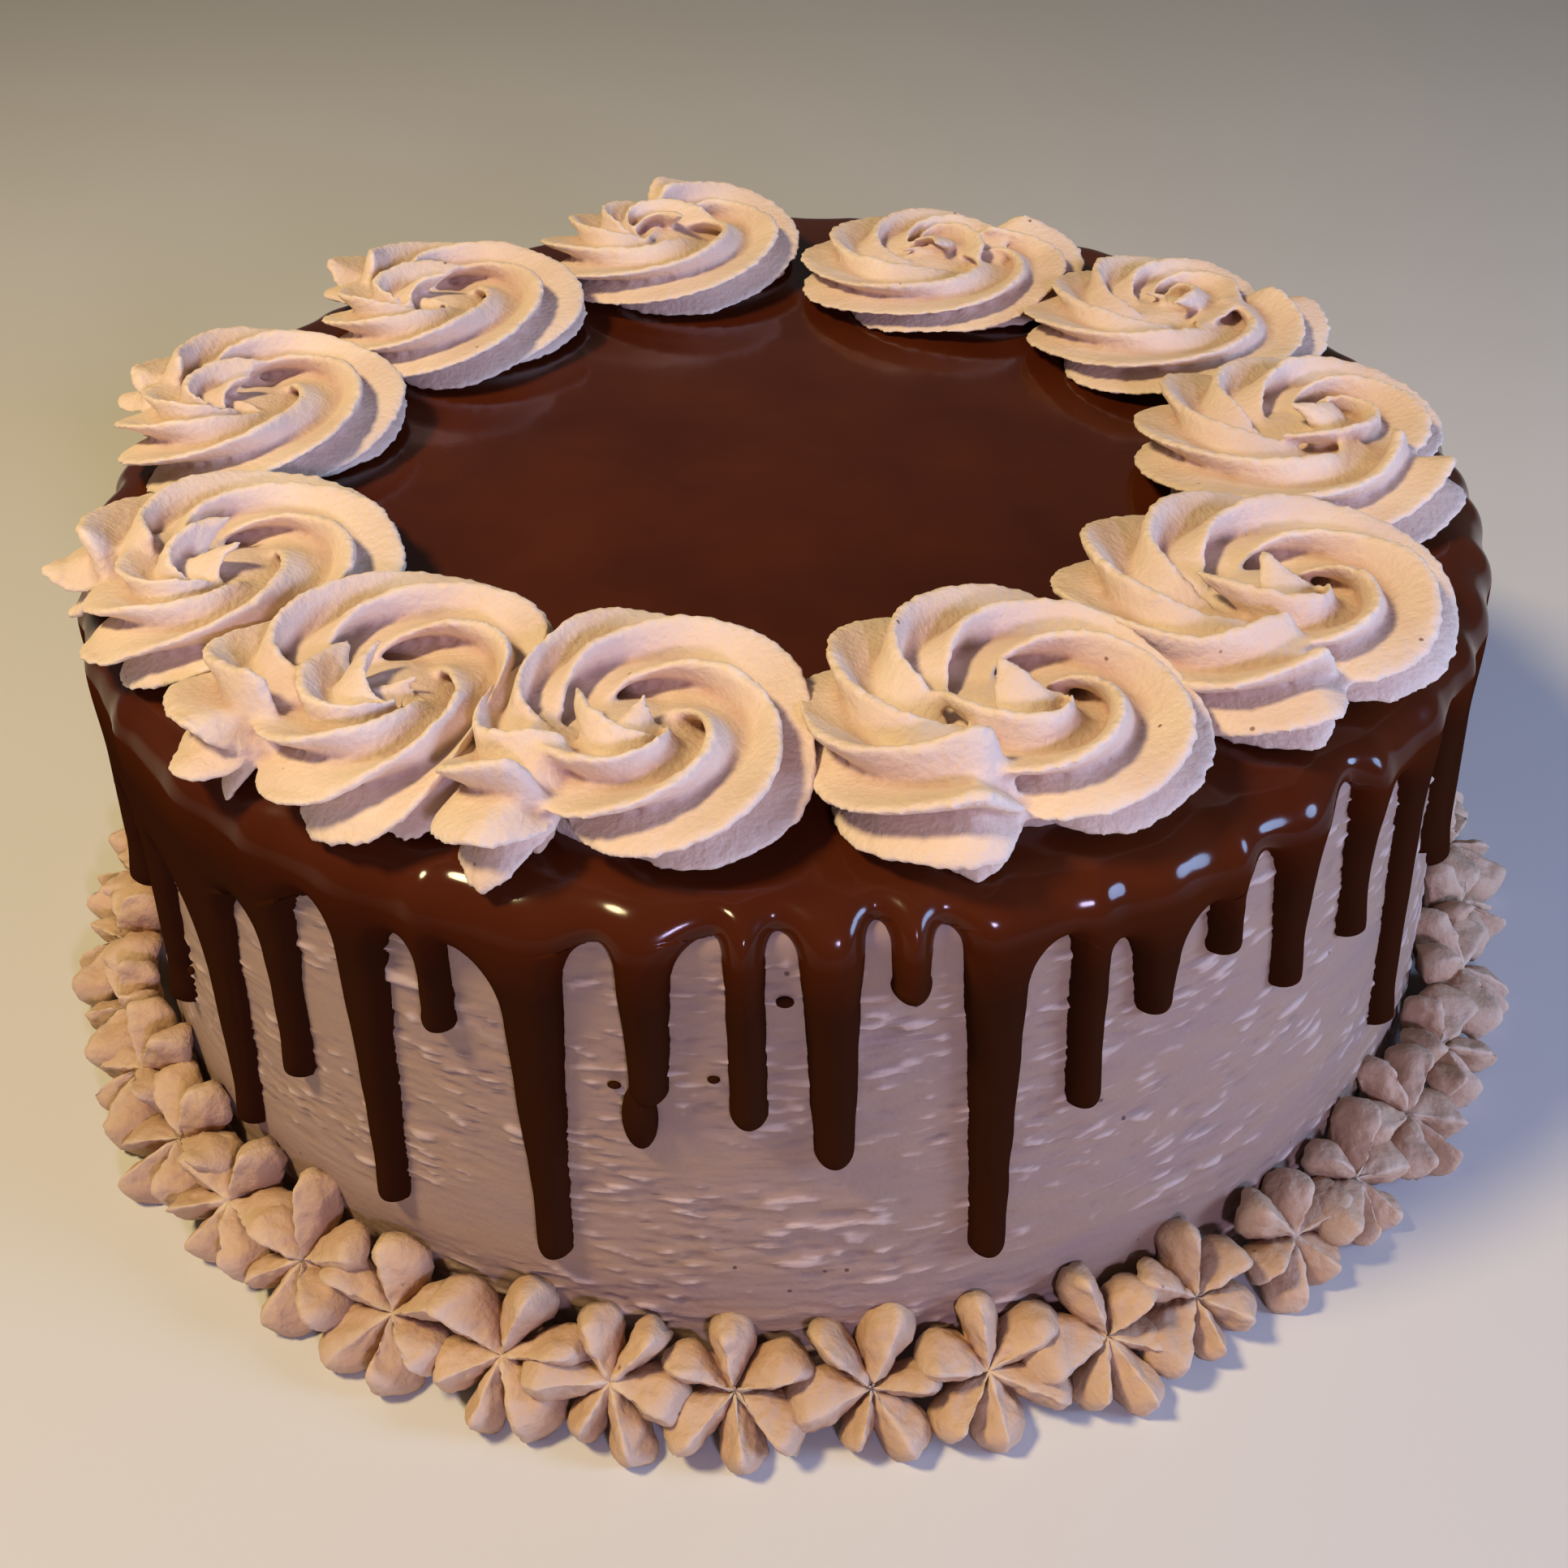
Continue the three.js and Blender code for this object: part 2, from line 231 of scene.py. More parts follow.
# Soft cream: how far and up to what height the foot spreads, how far it sinks into the ganache, how deep
# neighbours press into each other and how soft their faces are, how much of the rim's reach they sag, and
# how much of their height raised lips keep there
FOOT_SPREAD = 0.1
FOOT_HEIGHT = 4
FOOT_SINK = 0.5
PRESS_OVERLAP = 1.2
PRESS_SOFTNESS = 0.5
CROWDED_SOFTNESS = 0.15
SAG_REACH = 0.82
LIP_HOLD = 0.5
LIP_HEIGHT = 5

# Unevenness of the skin all over, to whose seeds the rosette's index is added, and of the lips, as height,
# size and seed of lumps, and spacing of the mesh
SKIN_LUMPS = [(0.05, 1.5, 0), (0.15, 5, 3)]
RAGGED_LIPS = [(0.4, 2.4, 9), (0.4, 1.2, 8)]
STRAND_STEP = 0.6
TOOTH_COLUMNS = 16
CREAM_VOXEL = 0.48
SOFT_ROUNDS = 3
RAISED_ROUNDS = 19

# Border flowers, drawn in the same order as in the solids
FLOWER_COUNT = 45
FLOWER_FIRST_AZIMUTH = -94
FLOWER_JITTER = 0.6
FLOWER_RING_RADIUS = 119
FLOWER_CENTRE_HEIGHT = 7.2
FLOWER_TILT = math.radians(43)
FLOWER_SIZE_SPREAD = 0.08
FLOWER_PETALS = 6
FLOWER_SEED = 7

# Petals: length, height of the crest, how far gravity draws it to the lower side, how much longer level
# petals are, reach of the gaps between petals, and how far length, height, tilt, crest and gap may vary
PETAL_LENGTH = 10.4
PETAL_CREST = 5
PETAL_SAG = 0.26
LEVEL_LONGER = 0.1
PETAL_GAP = 4.4
LENGTH_SPREAD = 0.16
CREST_SPREAD = 0.25
TILT_SPREAD = 1.6
CREST_SHIFT = 0.14
GAP_SHIFT = 0.22

# Form of a petal: fullness of its outline, fall of the gaps, share of the length at which the crest is
# reached, and the powers by which it climbs there, drops at the tip, falls to its sides and rounds the back
PETAL_FULLNESS = 3.4
GAP_FALL = 3.6
CREST_REACHED = 0.75
CREST_CLIMB = 0.7
TIP_DROP = 10
CREST_FALL = 0.62
BACK_ROUND = 1.6

# Painted highlight on the crests and the middle of a flower and painted shade in its gaps: how strong each
# is, with the share of the petal's length in which the middle and the gaps change, and how narrow crests and
# gaps are
CREST_HIGHLIGHT = 0.75
GAP_SHADE = 0.8
GAP_FROM = 0.4
MIDDLE_HIGHLIGHT = 0.9
MIDDLE_TO = 0.3
CREASE_NARROW = 4

# Flower's height in the middle and depth at the back, how far it may stand out, unevenness of its skin, as
# height and size of lumps that each flower draws for itself and height, size and seed of a grain that all
# share, and spacing of its mesh
FLOWER_MIDDLE = 1
FLOWER_DEPTH = 5
FLOWER_STAND_OUT = 1
FLOWER_LUMPS = (0.6, 3.2)
FLOWER_GRAIN = [(0.28, 1.3, 5), (0.12, 0.7, 6)]
FLOWER_FACE_ROWS = 24
FLOWER_BACK_ROWS = 8
SIDE_COLUMNS = 12

# Refraction of cream and chocolate
FOOD_IOR = 1.45

# Studio: half the floor's width in metres and how far it lies below the cake in millimetres, the lights, with
# place and width in metres, power in watts and colour, the point in metres at which they aim, and the dim
# light from all round
FLOOR_HALF = 3
FLOOR_BELOW = 0.2
LIGHTS = {
    "overhead": ((-0.44, -0.18, 0.76), 0.16, 6.6, "#ffe6ae"),
    "right_fill": ((0.75, -0.3, 0.3), 0.26, 5.1, "#a8c8ff"),
    "front_fill": ((0.2, -0.76, 0.36), 0.1, 2.7, "#dacdff"),
}
LIGHT_AIM = (0, 0, 0.05)
WORLD_COLOUR = "#f4f2ee"
WORLD_STRENGTH = 0.1

# Camera: place and aim in the cake's frame, and lens
CAMERA_PLACE = (0, -248.4, 215.8)
CAMERA_YAW = math.radians(-0.17)
CAMERA_PITCH = math.radians(38.86)
CAMERA_ROLL = math.radians(-1.42)
SENSOR_WIDTH = 36
FOCAL_PIXELS = 2135
IMAGE_WIDTH = 1932


# Shared helpers

def seeded(seed):
    """Repeatable random numbers from 0 to 1, the same as in the solids."""
    state = seed
    while True:
        state = (state * 1664525 + 1013904223) % 2 ** 32
        yield state / 2 ** 32


def either_way(draw):
    """Random number from -1 to 1."""
    return 2 * next(draw) - 1


def lumps(points, size, seed):
    """Smooth noise from about -1 to 1 at points in millimetres, with lumps of a size, or one per axis."""
    scaled = np.asarray(points) / size + SEEDS_APART * seed
    return np.array([noise.noise(p) for p in scaled])


def level_lumps(points, kind):
    """Smooth noise whose lumps have one size round the cake and another in height."""
    around, tall, seed = kind
    return lumps(points, np.array([around, around, tall]), seed)


def layered(points, layers, more_seed=0):
    """Sum of noises, each with a height, a size of lumps and a seed."""
    return sum(height * lumps(points, size, seed + more_seed) for height, size, seed in layers)


def ease(x):
    """Smooth step from 0 to 1 as x goes from 0 to 1."""
    x = np.clip(x, 0, 1)
    return x * x * (3 - 2 * x)


def press(points, centre, other, share, softness):
    """Push soft cream back to its own side of an upright plane between it and its neighbour."""
    toward = np.append(np.subtract(other, centre)[:2], 0)
    gap = np.linalg.norm(toward)
    toward = toward / gap
    room = gap * share + PRESS_OVERLAP - (points - centre) @ toward
    pressed = softness * np.logaddexp(0, room / softness)
    return points + np.outer(room - pressed, toward)


def lattice(bm, points):
    """Sheet of quads through rows of points, from a grid; returns its vertices."""
    rows, columns = points.shape[:2]
    made = bmesh.ops.create_grid(bm, x_segments=columns - 1, y_segments=rows - 1, size=1)
    for vertex, place in zip(made["verts"], points.reshape(-1, 3)):
        vertex.co = place
    return made["verts"]


def tube(bm, points):
    """Closed strand from rows of section points: a sheet joined along its sides, with filled ends."""
    around = np.concatenate([points, points[:, :1]], axis=1)
    vertices = lattice(bm, around)
    bmesh.ops.remove_doubles(bm, verts=vertices, dist=1e-5)
    open_edges = [e for e in bm.edges if e.is_boundary]
    bmesh.ops.holes_fill(bm, edges=open_edges, sides=0)


def to_mesh(bm, name):
    """Mesh of a bmesh in millimetres, with faces outwards."""
    bmesh.ops.recalc_face_normals(bm, faces=bm.faces)
    mesh = bpy.data.meshes.new(name)
    bm.to_mesh(mesh)
    bm.free()
    return mesh


def fuse(mesh, voxel):
    """One skin round strands that run into each other."""
    holder = bpy.data.objects.new("fusing", mesh)
    bpy.context.scene.collection.objects.link(holder)
    remesh = holder.modifiers.new("fuse", "REMESH")
    remesh.mode = "VOXEL"
    remesh.voxel_size = voxel
    graph = bpy.context.evaluated_depsgraph_get()
    fused = bpy.data.meshes.new_from_object(holder.evaluated_get(graph))
    bpy.data.objects.remove(holder)
    return fused


def read_points(mesh, what="co"):
    values = np.empty(3 * len(mesh.vertices), dtype=np.float32)
    mesh.vertices.foreach_get(what, values)
    return values.reshape(-1, 3).astype(float)


def write_points(mesh, points):
    mesh.vertices.foreach_set("co", points.astype(np.float32).ravel())
    mesh.update()


def smoothed(mesh, rounds):
    """Points of a mesh after some rounds in which each moves to the mean of its neighbours."""
    count = len(mesh.vertices)
    ends = np.empty(2 * len(mesh.edges), dtype=np.int32)
    mesh.edges.foreach_get("vertices", ends)
    one, other = ends.reshape(-1, 2).T
    neighbours = np.bincount(ends, minlength=count)
    points = read_points(mesh)
    for _ in range(rounds):
        sums = []
        for axis in points.T:
            sums.append(np.bincount(one, axis[other], count) + np.bincount(other, axis[one], count))
        points = (np.array(sums) / neighbours).T
    return points


def mark_raised(mesh, raised):
    """Keep how far each point stands out of the surface round it, for the material, which paints highlight on
    raised points and shade on sunk ones.
    """
    attribute = mesh.attributes.new("raised", "FLOAT", "POINT")
    attribute.data.foreach_set("value", raised.astype(np.float32))


def finish_piece(mesh, name, material, slot, *nodes):
    """Object of a mesh in millimetres, which takes the place of its solids in the frame."""
    mesh.transform(Matrix.Scale(MM, 4))
    mesh.shade_smooth()
    mesh.name = name
    mesh.materials.clear()
    mesh.materials.append(material)
    piece = bpy.data.objects.new(name, mesh)
    bpy.context.scene.collection.objects.link(piece)
    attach(piece, "root")
    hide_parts(*nodes)
    return piece


# Profile of the bare cake, followed by a depth: the way down along it from where the edge starts to turn

def wall_radius(height):
    return BASE_RADIUS - WALL_TAPER * height / BODY_HEIGHT


EDGE_CENTRE = wall_radius(EDGE_HEIGHT) - EDGE_ROUND
EDGE_ARC = EDGE_ROUND * math.pi / 2


def depth_at(height):
    """Depth of a height on the rounded edge or the wall."""
    on_edge = EDGE_ROUND * (math.pi / 2 - np.arcsin(np.clip((height - EDGE_HEIGHT) / EDGE_ROUND, 0, 1)))
    return on_edge + np.clip(EDGE_HEIGHT - height, 0, None) / math.cos(WALL_TILT)


def profile_at(depth):
    """Radius and height at a depth: level top below zero, then the rounded edge, then the wall."""
    angle = np.clip(math.pi / 2 - depth / EDGE_ROUND, 0, math.pi / 2)
    on_wall = np.clip(depth - EDGE_ARC, 0, None)
    radius = EDGE_CENTRE + EDGE_ROUND * np.cos(angle) + np.clip(depth, None, 0)
    height = EDGE_HEIGHT + EDGE_ROUND * np.sin(angle)
    return radius + on_wall * math.sin(WALL_TILT), height - on_wall * math.cos(WALL_TILT)


def on_body(azimuth, depth):
    """Points and outward directions on the bare cake."""
    radius, height = profile_at(depth)
    slant = np.clip(math.pi / 2 - depth / EDGE_ROUND, WALL_TILT, math.pi / 2)
    points = np.stack([radius * np.cos(azimuth), radius * np.sin(azimuth), height], axis=1)
    level = np.cos(slant)
    normals = np.stack([level * np.cos(azimuth), level * np.sin(azimuth), np.sin(slant)], axis=1)
    return points, normals


# Frosted body

def turned_body():
    """Mesh of the bare cake, turned from its profile."""
    bottom = float(depth_at(0))
    rows = round(EDGE_HEIGHT / WALL_ROW)
    depths = [bottom + (EDGE_ARC - bottom) * i / rows for i in range(rows)]
    depths += [EDGE_ARC * (1 - i / EDGE_ROWS) for i in range(EDGE_ROWS + 1)]
    bm = bmesh.new()
    chain = []
    for depth in depths:
        radius, height = profile_at(depth)
        chain.append(bm.verts.new((radius, 0, height)))
    edges = [bm.edges.new(pair) for pair in zip(chain, chain[1:])]
    bmesh.ops.spin(bm, geom=chain + edges, axis=(0, 0, 1), cent=(0, 0, 0), angle=2 * math.pi,
                   steps=WALL_COLUMNS, use_merge=True)
    bmesh.ops.holes_fill(bm, edges=[e for e in bm.edges if e.is_boundary], sides=0)
    return to_mesh(bm, "frosted_body")


def spread_relief(azimuth, height):
    """How far the spatula's level streaks, torn pits and grain stand out, and the waves under them."""
    points = np.stack([BASE_RADIUS * np.cos(azimuth), BASE_RADIUS * np.sin(azimuth), height], axis=1)
    waves = WAVE_HEIGHT * level_lumps(points, WAVES)
    patches = ease(PATCH_MIDDLE + PATCH_SHARPNESS * level_lumps(points, PATCHES))
    points[:, 2] += BEND_HEIGHT * level_lumps(points, BENDS)
    terraces = np.tanh(TERRACE_SHARPNESS * level_lumps(points, TERRACES))
    flecks = ease(TEAR_SHARPNESS * level_lumps(points, FLECKS) - FLECK_START)
    pits = ease(TEAR_SHARPNESS * level_lumps(points, PITS) - PIT_START)
    grain = GRAIN_HEIGHT * level_lumps(points, GRAIN) * (GRAIN_LEFT + patches)
    streaks = TERRACE_HEIGHT * terraces + FLECK_HEIGHT * flecks - PIT_DEPTH * pits
    return streaks * (STREAKS_LEFT + (1 - STREAKS_LEFT) * patches) + grain, waves


def frosted_body(material):
    """Body with frosting spread on its wall; its foot and the top under the ganache stay plain."""
    mesh = turned_body()
    points = read_points(mesh)
    azimuth = np.arctan2(points[:, 1], points[:, 0])
    height = points[:, 2]
    relief, waves = spread_relief(azimuth, height)
    on_wall = ease(height / FOOT_FADE) * ease((BODY_HEIGHT - PLAIN_TOP - height) / TOP_FADE)
    shift = (relief + waves - WALL_BACK) * on_wall
    points[:, 0] += shift * np.cos(azimuth)
    points[:, 1] += shift * np.sin(azimuth)
    write_points(mesh, points)
    mark_raised(mesh, relief * on_wall)
    return finish_piece(mesh, "frosted_body", material, "frosting", "cake_body")


# Ganache

def drip_list():
    """All drips in order round the cake: those of the front, then the drawn ones behind. Each knows the
    arch on either side as the way to its top, in millimetres round the cake, and the depth of that top."""
    draw = seeded(DRIP_SEED)
    drips = []
    for azimuth, end, broad, arch_azimuth, arch_height in FRONT_DRIPS:
        drips.append({"azimuth": azimuth, "end": end, "broad": broad, "arch": (arch_azimuth, arch_height)})
    last = FRONT_DRIPS[-1][0]
    gap = FRONT_DRIPS[0][0] + 360 - last
    for i in range(1, BACK_DRIPS + 1):
        azimuth = last + gap * i / (BACK_DRIPS + 1) + BACK_DRIP_JITTER * either_way(draw)
        end = LONG_DRIP_END + (SHORT_DRIP_END - LONG_DRIP_END) * next(draw)
        drips.append({"azimuth": azimuth, "end": end})
    for drip in drips:
        drip.setdefault("broad", next(draw))
    for drip, after in zip(drips, drips[1:] + drips[:1]):
        between = (after["azimuth"] - drip["azimuth"]) % 360
        own, others = drip["broad"] + THIN_WEIGHT, after["broad"] + THIN_WEIGHT
        weight = ARCH_LEAST + (1 - 2 * ARCH_LEAST) * own / (own + others)
        drawn = BACK_ARCH_HEIGHT + BACK_ARCH_SPREAD * either_way(draw)
        azimuth, height = drip.get("arch", (drip["azimuth"] + between * weight, drawn))
        depth = depth_at(height)
        radius = profile_at(depth)[0]
        ahead = math.radians(azimuth - drip["azimuth"])
        drip["after"] = (ahead * radius, depth)
        after["before"] = ((math.radians(between) - ahead) * radius, depth)
    return drips


def drip_side(drip, arch):
    """One side of a drip from the top of its arch to its end, as ways across and depths."""
    offset, top = arch
    widths = [thin + (heavy - thin) * drip["broad"] for thin, heavy in zip(THIN_DRIP, HEAVY_DRIP)]
    end = float(depth_at(drip["end"]))
    half_top = min(widths[0] / 2, SIDE_MOST * offset)
    half_end = min(widths[1] / 2, half_top)
    fall = min(ARCH_FALL + ARCH_FALL_GROWTH * (offset - half_top), ARCH_FALL_MOST * (end - top))
    tip = TIP_LENGTH * half_end
    turn = np.arange(ARCH_ROWS) / ARCH_ROWS * math.pi / 2
    stem = np.arange(STEM_ROWS) / STEM_ROWS
    cap = np.arange(TIP_ROWS + 1) / TIP_ROWS * math.pi / 2
    down = top + fall + (end - tip - top - fall) * stem
    bulb = BULB * np.exp(-((1 - stem) / BULB_SPAN) ** 2)
    along_side = np.stack([down, 0 * down + offset, 0 * down + drip["azimuth"]], axis=1)
    sway = SWAY * lumps(along_side, SWAY_LENGTH, 1) * ease(4 * stem) * ease(4 - 4 * stem)
    across = np.concatenate([
        half_top + (offset - half_top) * (1 - np.sin(turn)),
        half_top + (half_end - half_top) * stem + bulb + sway,
        (half_end + BULB) * np.cos(cap)])
    depth = np.concatenate([top + fall * (1 - np.cos(turn)), down, end - tip + tip * np.sin(cap)])
    return across, depth


def ganache_rows(drip, columns):
    """Rows of a drip's sector on the bare cake as azimuths and depths, from the middle of the top over
    the rim to the drip's end, and the number of rows above the arches."""
    left, left_depth = drip_side(drip, drip["before"])
    right, right_depth = drip_side(drip, drip["after"])
    share = (np.sin(np.linspace(-1, 1, columns + 1) * math.pi / 2) + 1) / 2
    middle = math.radians(drip["azimuth"])
    edge_left = left[0] / profile_at(left_depth[0])[0]
    edge_right = right[0] / profile_at(right_depth[0])[0]
    azimuth = middle - edge_left + (edge_left + edge_right) * share
    arch = left_depth[0] + (right_depth[0] - left_depth[0]) * share
    rows = [(azimuth, np.full(columns + 1, -EDGE_CENTRE * (1 - k / TOP_ROWS))) for k in range(TOP_ROWS)]
    rows += [(azimuth, arch * k / RIM_ROWS) for k in range(RIM_ROWS)]
    above = len(rows)
    for k in range(len(left)):
        depth = left_depth[k] + (right_depth[k] - left_depth[k]) * share
        way = -left[k] + (left[k] + right[k]) * share
        rows.append((middle + way / profile_at(depth)[0], depth))
    return rows, above


def outline_tree(drips):
    """Search tree of points along the lower edge of the ganache."""
    edge = []
    for drip in drips:
        for side, arch in ((-1, drip["before"]), (1, drip["after"])):
            across, depth = drip_side(drip, arch)
            azimuth = math.radians(drip["azimuth"]) + side * across / profile_at(depth)[0]
            points = on_body(azimuth, depth)[0]
            edge += list(points) + list((points[1:] + points[:-1]) / 2)
    tree = kdtree.KDTree(len(edge))
    for i, place in enumerate(edge):
        tree.insert(place, i)
    tree.balance()
    return tree


def wall_drop(bm, azimuth, height, half_size):
    """Drop on the wall: a ball flattened to half sizes across, down and out of the wall."""
    points, normals = on_body(np.array([azimuth]), np.array([depth_at(height)]))
    out = Vector(normals[0])
    across = Vector((-math.sin(azimuth), math.cos(azimuth), 0))
    axes = Matrix((across, out.cross(across), out)).transposed().to_4x4()
    ball = bmesh.ops.create_icosphere(bm, subdivisions=3, radius=1)["verts"]
    bmesh.ops.scale(bm, verts=ball, vec=half_size)
    bmesh.ops.transform(bm, verts=ball, matrix=Matrix.Translation(points[0]) @ axes)


def sheet_thickness(azimuth, depth, drips):
    """Thickness of the pour, which swells on the rim where a drip starts and thins towards the drips."""
    down = ease((depth - EDGE_ARC) / THINNING_DEPTH)
    thick = SHEET_THICKNESS + (DRIP_THICKNESS - SHEET_THICKNESS) * down
    roots = np.radians([drip["azimuth"] for drip in drips])
    halves = np.array([SWELL_HALF + SWELL_HALF_HEAVY * drip["broad"] for drip in drips]) / EDGE_CENTRE
    apart = (azimuth[:, None] - roots + math.pi) % (2 * math.pi) - math.pi
    swell = np.exp(-(apart / halves) ** 2).sum(axis=1) - SWELL_BETWEEN
    return thick + RIM_SWELL * swell * ease(depth / SWELL_DEPTH) * (1 - down)


def outer_skin(drip, drips, tree):
    """Rows of points on a drip's sector of the pour, whose lower edge rounds off into the frosting."""
    rows, above = ganache_rows(drip, DRIP_COLUMNS)
    end = float(depth_at(drip["end"]))
    skin = []
    for k, (azimuth, depth) in enumerate(rows):
        points, normals = on_body(azimuth, depth)
        far = np.array([tree.find(p)[2] for p in points])
        dome = np.sqrt(1 - (1 - np.clip(far / EDGE_ROUNDING, 0, 1)) ** 2)
        thick = sheet_thickness(azimuth, depth, drips)
        if k >= above:
            bead = np.exp(-((end - depth - BEAD_ABOVE_END) / BEAD_LENGTH) ** 2)
            thick += (DRIP_END_THICKNESS - DRIP_THICKNESS) * bead * ease((k - above) / ARCH_ROWS)
        lift = thick * dome - EDGE_SINK * (1 - dome)
        if k >= above:
            lift[[0, -1]] = -EDGE_SINK
        skin.append(points + normals * lift[:, None])
    return np.array(skin)


def inner_skin(drip):
    """Rows of points on the back of a drip's sector, sunk into the frosting."""
    rows, above = ganache_rows(drip, 1)
    skin = []
    for k, (azimuth, depth) in enumerate(rows):
        points, normals = on_body(azimuth, depth)
        skin.append(points - normals * (EDGE_SINK if k >= above else BACK_SINK))
    return np.array(skin)


def poured_ganache(material):
    """Pour over the top and rim with its drips, as one closed skin, and the drops on the wall."""
    drips = drip_list()
    tree = outline_tree(drips)
    bm = bmesh.new()
    for drip in drips:
        lattice(bm, outer_skin(drip, drips, tree))
        lattice(bm, inner_skin(drip))
    bmesh.ops.remove_doubles(bm, verts=bm.verts, dist=2e-4)
    for azimuth, height, width, length, thickness in WALL_DROPS:
        wall_drop(bm, math.radians(azimuth), height, (width, length, thickness))
    mesh = to_mesh(bm, "poured_ganache")
    return finish_piece(mesh, "poured_ganache", material, "ganache", "ganache")


# Rosettes

def star(angle, seed, along):
    """Star nozzle's section from 0 in its hollow valleys to about 1 on its blunt lips, which are uneven."""
    from_lip = np.abs(np.sin(NOZZLE_TEETH / 2 * angle))
    ridge = np.clip((1 - from_lip) / (1 - LIP_SHARE), 0, 1) ** LIP_FALL
    which = np.round(angle / (2 * math.pi / NOZZLE_TEETH)) % NOZZLE_TEETH
    same = np.ones_like(angle)
    places = np.stack([along * same, LIPS_APART * which, STRANDS_APART * seed * same], axis=1)
    return ridge * (1 + LIP_UNEVEN * lumps(places, np.array([LIP_RUN, 1, 1]), seed))


def rosette_strand(index):
    """Star sections along the strand of a rosette round its own middle. The nozzle doesn't turn and the bag
    leans, so the ridges cross the strand on one side and run along it on the other. The strand starts
    in a crown of open teeth and ends where it tore off."""
    radius, height, start, tail, lean_azimuth, lean = ROSETTES[index][2:]
    ring = radius - STRAND_HALF
    turn = math.radians((tail - start - STRAND_TURN_LEAST) % 360 + STRAND_TURN_LEAST)
    along = np.linspace(0, turn, round(turn * ring / STRAND_STEP))
    reach = ring - (ring - STRAND_START) * (1 - np.clip(along / RING_REACHED, 0, 1)) ** 2
    tail_share = ease(1 - (turn - along) / TAIL_TURN)
    reach -= TAIL_IN * tail_share
    turned = math.radians(start) + along
    rise = height / 2 + CROWN_LIFT * (1 - ease((reach - STRAND_START) / (ring - STRAND_START)))
    line = np.stack([reach * np.cos(turned), reach * np.sin(turned), rise], axis=1)
    way = np.append(0, np.cumsum(np.linalg.norm(np.diff(line, axis=0), axis=1)))
    headings = np.gradient(line, axis=0)
    headings /= np.linalg.norm(headings, axis=1)[:, None]
    leaning = Vector((0, 0, 1))
    leaning.rotate(Matrix.Rotation(math.radians(lean), 3, "Y"))
    leaning.rotate(Matrix.Rotation(math.radians(lean_azimuth), 3, "Z"))
    first = leaning.orthogonal().normalized()
    second = leaning.cross(first)
    angles = np.linspace(0, 2 * math.pi, NOZZLE_TEETH * TOOTH_COLUMNS, endpoint=False)
    strand = []
    for place, heading, gone, on_tail in zip(line, headings, way, tail_share):
        facing = leaning.rotation_difference(Vector(heading)).to_matrix()
        ring_out = np.outer(np.cos(angles), facing @ first) + np.outer(np.sin(angles), facing @ second)
        left = way[-1] - gone
        size = STRAND_HALF * (CROWN_SIZE + (1 - CROWN_SIZE) * ease(gone / FULL_SIZE_WAY))
        tooth = star(angles, index + 1, gone)
        torn = 1 - ease(left / TORN_LENGTH)
        rounded = math.sqrt(max(1 - max(1 - left / TORN_LENGTH, 0) ** 2, TORN_LEAST))
        section = ring_out * (size * rounded * (VALLEY_SHARE + (1 - VALLEY_SHARE) * tooth))[:, None]
        section[:, 2] *= height / 2 / STRAND_HALF
        back = CROWN_LENGTH * tooth * (1 - ease(gone / CROWN_LENGTH))
        on = TORN_RAGGED * lumps(ring_out, TORN_LUMPS, index + TORN_SEED) * torn
        places = place + section + np.outer(on - back, heading)
        places[:, 2] *= (1 + TAIL_RISE * on_tail) * (1 - TORN_SINK * torn)
        strand.append(places)
    mouth = strand[0].mean(axis=0)
    first_row = mouth + MOUTH_DEPTH * headings[0] + MOUTH_SIZE * (strand[0] - mouth)
    return np.array([first_row] + strand)


def rosette_place(index):
    azimuth, distance = ROSETTES[index][:2]
    turned = math.radians(azimuth)
    return distance * np.array([math.cos(turned), math.sin(turned), 0])


